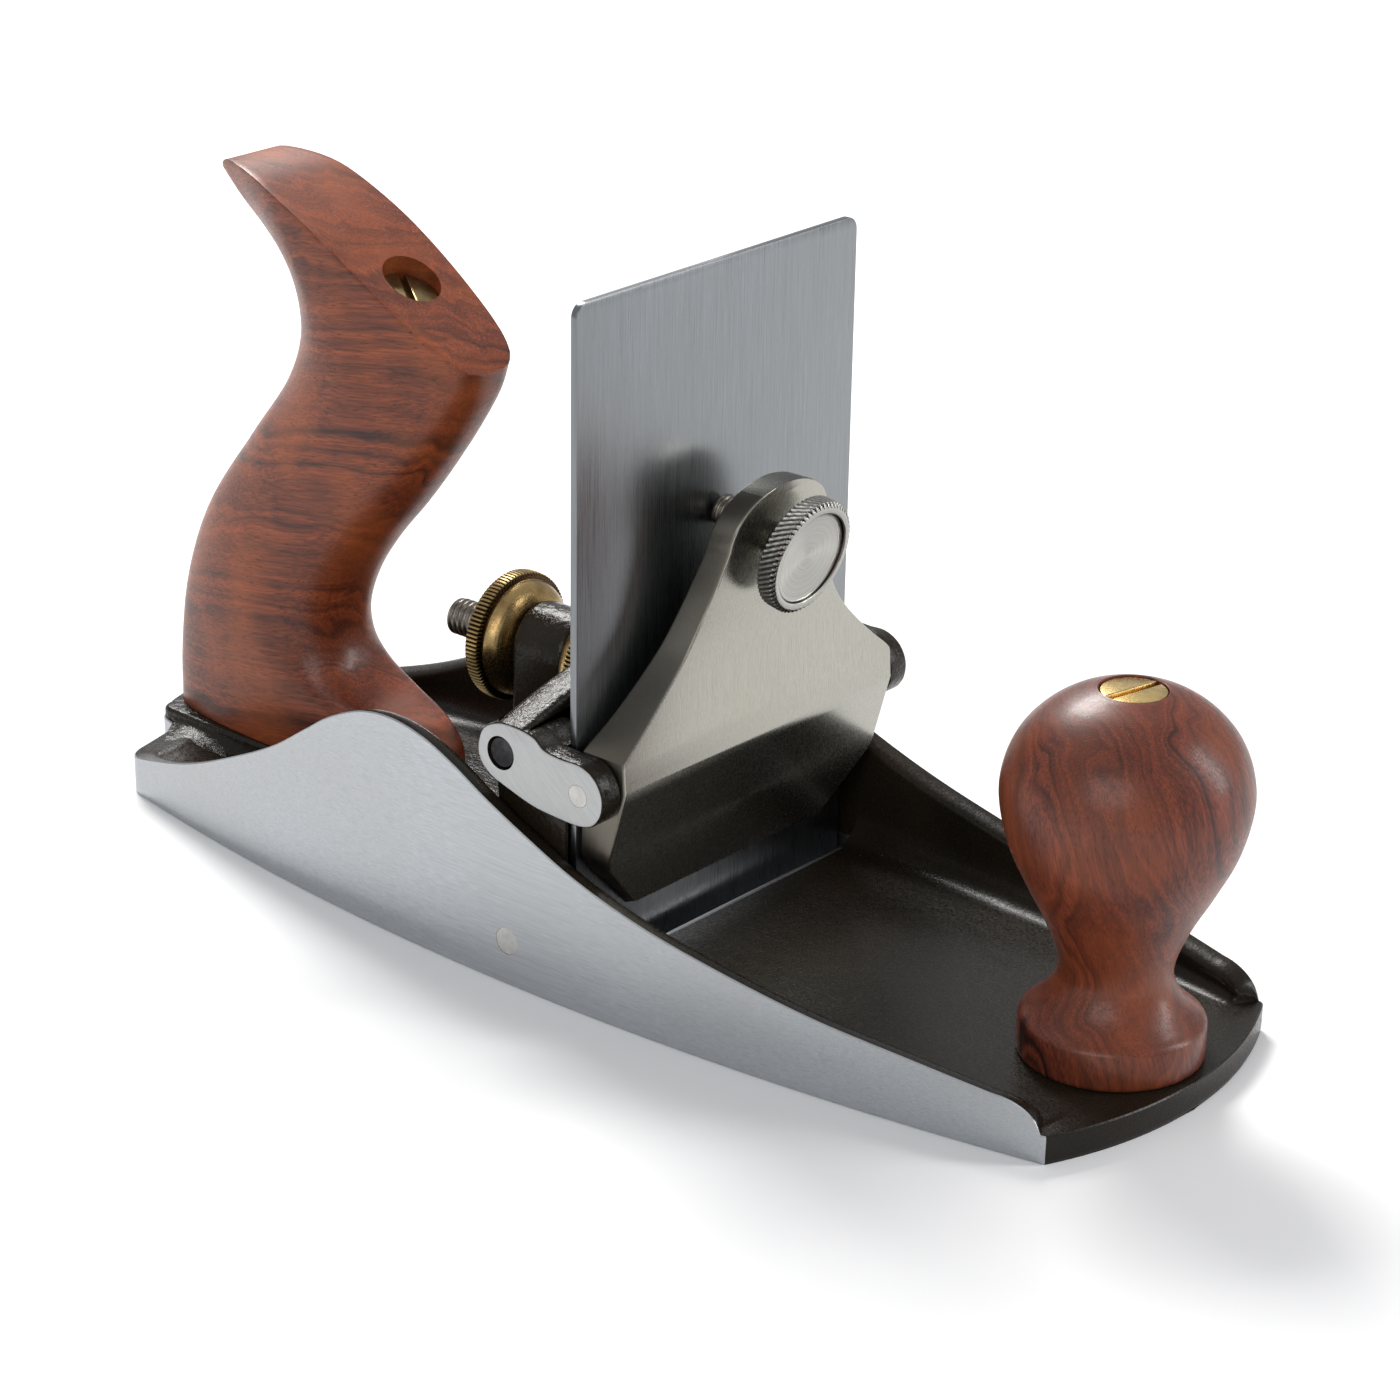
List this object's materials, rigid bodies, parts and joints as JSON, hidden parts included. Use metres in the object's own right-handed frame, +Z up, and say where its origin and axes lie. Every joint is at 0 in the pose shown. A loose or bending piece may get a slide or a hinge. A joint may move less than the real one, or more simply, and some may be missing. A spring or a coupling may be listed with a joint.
{
  "type": "cabinet scraper plane",
  "caption": "Iron scraping hand plane with a tilting frog, an upright blade, a steel lever cap, brass angle adjuster nuts and a hardwood knob and handle",
  "frame": {"origin": "on the sole, on the body's middle line, 16 mm behind the blade's front face", "axes": "+X forward from the handle to the knob, +Y to the user's left, +Z up, square to the sole"},
  "size_m": [0.2429, 0.0848, 0.124],
  "materials": {
    "japanned_iron": "black baked enamel over rough castings, satin to glossy, with ground cheeks, sole and ears",
    "blade_steel": "brushed lengthwise",
    "cap_steel": "brushed",
    "pin_steel": "plain turned",
    "aged_brass": "turned, slightly aged",
    "oiled_wood": "oiled and waxed, dark streaks"
  },
  "bodies": {
    "chassis": {"plane_body": "japanned_iron", "front_knob": "oiled_wood", "knob_screw": "aged_brass", "knob_stud": "pin_steel", "rear_handle": "oiled_wood", "handle_screw": "aged_brass", "handle_stud": "pin_steel", "frog_pivot_pin_left": "pin_steel", "frog_pivot_pin_right": "pin_steel"},
    "frog": {"frog": "japanned_iron", "adjuster_cross_rod": "pin_steel", "lever_cap_pin_left": "pin_steel", "lever_cap_pin_right": "pin_steel"},
    "blade": {"blade": "blade_steel"},
    "lever_cap": {"lever_cap": "cap_steel"},
    "clamp_screw": {"clamp_screw": "pin_steel"},
    "clamp_wheel": {"clamp_wheel": "cap_steel"},
    "adjuster_rod": {"adjuster_rod": "pin_steel"},
    "rear_nut": {"adjuster_nut_rear": "aged_brass"},
    "front_nut": {"adjuster_nut_front": "aged_brass"}
  },
  "joints": [
    {"name": "frog_tilt", "type": "hinge", "parent": "chassis", "child": "frog", "pos_m": [0.0051, 0, 0.0085], "axis": [0, 1, 0], "range_deg": [0, 20]},
    {"name": "adjuster_rod_slide", "type": "slide", "parent": "chassis", "child": "adjuster_rod", "axis": [1, 0, 0], "range_m": [0, 0.01214]},
    {"name": "rear_nut_spin", "type": "hinge", "parent": "chassis", "child": "rear_nut", "pos_m": [-0.03, 0, 0.0435], "axis": [1, 0, 0], "continuous": true},
    {"name": "front_nut_spin", "type": "hinge", "parent": "chassis", "child": "front_nut", "pos_m": [-0.01, 0, 0.0435], "axis": [1, 0, 0], "continuous": true},
    {"name": "blade_slide", "type": "slide", "parent": "frog", "child": "blade", "axis": [0, 0, 1], "range_m": [-0.001, 0.025]},
    {"name": "cap_rock", "type": "hinge", "parent": "frog", "child": "lever_cap", "pos_m": [0.0211, 0, 0.0407], "axis": [0, -1, 0], "range_deg": [0, 4]},
    {"name": "clamp_screw_slide", "type": "slide", "parent": "lever_cap", "child": "clamp_screw", "axis": [0.9781, 0, -0.2079], "range_m": [0, 0.00286]},
    {"name": "clamp_wheel_spin", "type": "hinge", "parent": "clamp_screw", "child": "clamp_wheel", "pos_m": [0.037, 0, 0.0757], "axis": [0.9781, 0, -0.2079], "continuous": true}
  ],
  "couplings": [
    {"joint": "adjuster_rod_slide", "follows": "frog_tilt", "m_per_rad": 0.0345},
    {"joint": "rear_nut_spin", "follows": "frog_tilt", "ratio": 170.69},
    {"joint": "front_nut_spin", "follows": "frog_tilt", "ratio": 170.69},
    {"joint": "clamp_screw_slide", "follows": "cap_rock", "m_per_rad": 0.0395},
    {"joint": "clamp_wheel_spin", "follows": "cap_rock", "ratio": 195.42}
  ]
}
